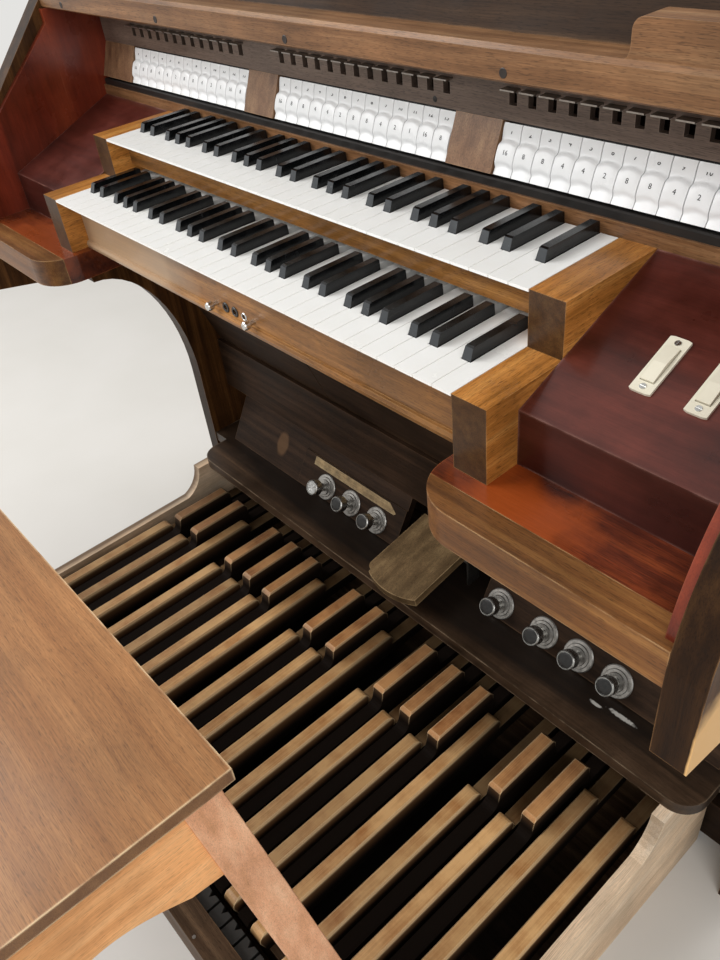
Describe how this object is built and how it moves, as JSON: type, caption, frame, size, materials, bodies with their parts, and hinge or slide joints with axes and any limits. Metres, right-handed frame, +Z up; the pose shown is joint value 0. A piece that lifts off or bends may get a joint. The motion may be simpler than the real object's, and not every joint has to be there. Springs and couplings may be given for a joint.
{
  "type": "pipe organ console",
  "caption": "Wooden two-manual organ console with white stop tabs, pedalboard, toe pistons, swell shoe and bench.",
  "frame": {"origin": "middle of the bounding box at floor level", "axes": "+X towards the treble end, +Y away from the player towards the back panel, +Z up"},
  "size_m": [1.4032, 1.2062, 1.24],
  "materials": {
    "walnut_case": "worn satin varnish",
    "oak": "satin varnish",
    "red_mahogany": "glossy red-brown varnish",
    "pedal_wood": "worn bare tops, dark sides",
    "bench_wood": "satin varnish",
    "black_fittings": "matt black and dark brown",
    "white_plastic": "polished",
    "black_plastic": "polished, worn grey in front",
    "ivory_plastic": "moulded",
    "chromed_brass": "plated",
    "steel": "plain"
  },
  "bodies": {
    "console": {"end_panels": "walnut_case", "side_linings": "red_mahogany", "back_panel": "walnut_case", "plinth": "walnut_case", "top_board": "walnut_case", "music_desk": "walnut_case", "desk_ledges": "oak", "fascia_board": "oak", "slot_panel": "black_fittings", "setter_levers": "chromed_brass", "tab_posts": "walnut_case", "tab_recess": "black_fittings", "tab_rail": "walnut_case", "stop_tabs": "white_plastic", "upper_naturals": "white_plastic", "upper_sharps": "black_plastic", "lower_naturals": "white_plastic", "lower_sharps": "black_plastic", "key_slips": "oak", "key_frames": "oak", "key_cheeks": "oak", "side_shelves": "red_mahogany", "shelf_lippings": "oak", "side_boxes": "red_mahogany", "switch_plates": "ivory_plastic", "knee_boards": "walnut_case", "toe_boards": "walnut_case", "toe_ledge": "walnut_case", "piston_rosettes": "chromed_brass", "shoe_bracket": "steel", "pedal_cheeks": "pedal_wood", "pedal_rails": "pedal_wood", "heel_strip": "black_fittings", "pedal_naturals": "pedal_wood", "pedal_sharps": "pedal_wood", "bench_top": "bench_wood", "bench_frame": "bench_wood"},
    "inner_rocker_body": {"inner_rocker": "ivory_plastic"},
    "outer_rocker_body": {"outer_rocker": "ivory_plastic"},
    "swell_shoe_body": {"swell_shoe": "pedal_wood"},
    "toe_piston_1_body": {"toe_piston_1": "chromed_brass"},
    "toe_piston_2_body": {"toe_piston_2": "chromed_brass"},
    "toe_piston_3_body": {"toe_piston_3": "chromed_brass"},
    "toe_piston_4_body": {"toe_piston_4": "chromed_brass"},
    "toe_piston_5_body": {"toe_piston_5": "chromed_brass"},
    "toe_piston_6_body": {"toe_piston_6": "chromed_brass"},
    "toe_piston_7_body": {"toe_piston_7": "chromed_brass"},
    "thumb_piston_1_body": {"thumb_piston_1": "chromed_brass"},
    "thumb_piston_2_body": {"thumb_piston_2": "chromed_brass"}
  },
  "joints": [
    {"name": "swell_shoe_tilt", "type": "hinge", "parent": "console", "child": "swell_shoe_body", "pos_m": [0.046, 0.39308, 0.297], "axis": [1, 0, 0], "range_deg": [-10, 9]},
    {"name": "toe_piston_1_press", "type": "slide", "parent": "console", "child": "toe_piston_1_body", "axis": [0, 0.866, -0.5], "range_m": [0, 0.006], "stiffness_N_per_m": 500, "springref_m": -0.008},
    {"name": "toe_piston_2_press", "type": "slide", "parent": "console", "child": "toe_piston_2_body", "axis": [0, 0.866, -0.5], "range_m": [0, 0.006], "stiffness_N_per_m": 500, "springref_m": -0.008},
    {"name": "toe_piston_3_press", "type": "slide", "parent": "console", "child": "toe_piston_3_body", "axis": [0, 0.866, -0.5], "range_m": [0, 0.006], "stiffness_N_per_m": 500, "springref_m": -0.008},
    {"name": "toe_piston_4_press", "type": "slide", "parent": "console", "child": "toe_piston_4_body", "axis": [0, 0.866, -0.5], "range_m": [0, 0.006], "stiffness_N_per_m": 500, "springref_m": -0.008},
    {"name": "toe_piston_5_press", "type": "slide", "parent": "console", "child": "toe_piston_5_body", "axis": [0, 0.866, -0.5], "range_m": [0, 0.006], "stiffness_N_per_m": 500, "springref_m": -0.008},
    {"name": "toe_piston_6_press", "type": "slide", "parent": "console", "child": "toe_piston_6_body", "axis": [0, 0.866, -0.5], "range_m": [0, 0.006], "stiffness_N_per_m": 500, "springref_m": -0.008},
    {"name": "toe_piston_7_press", "type": "slide", "parent": "console", "child": "toe_piston_7_body", "axis": [0, 0.866, -0.5], "range_m": [0, 0.006], "stiffness_N_per_m": 500, "springref_m": -0.008},
    {"name": "thumb_piston_1_press", "type": "slide", "parent": "console", "child": "thumb_piston_1_body", "axis": [0, 1, 0], "range_m": [0, 0.003], "stiffness_N_per_m": 400, "springref_m": -0.004},
    {"name": "thumb_piston_2_press", "type": "slide", "parent": "console", "child": "thumb_piston_2_body", "axis": [0, 1, 0], "range_m": [0, 0.003], "stiffness_N_per_m": 400, "springref_m": -0.004},
    {"name": "inner_rocker_tilt", "type": "hinge", "parent": "console", "child": "inner_rocker_body", "pos_m": [0.52175, 0.18904, 0.95163], "axis": [1, 0, 0], "range_deg": [-4, 4]},
    {"name": "outer_rocker_tilt", "type": "hinge", "parent": "console", "child": "outer_rocker_body", "pos_m": [0.57175, 0.18904, 0.95163], "axis": [1, 0, 0], "range_deg": [-4, 4]}
  ]
}
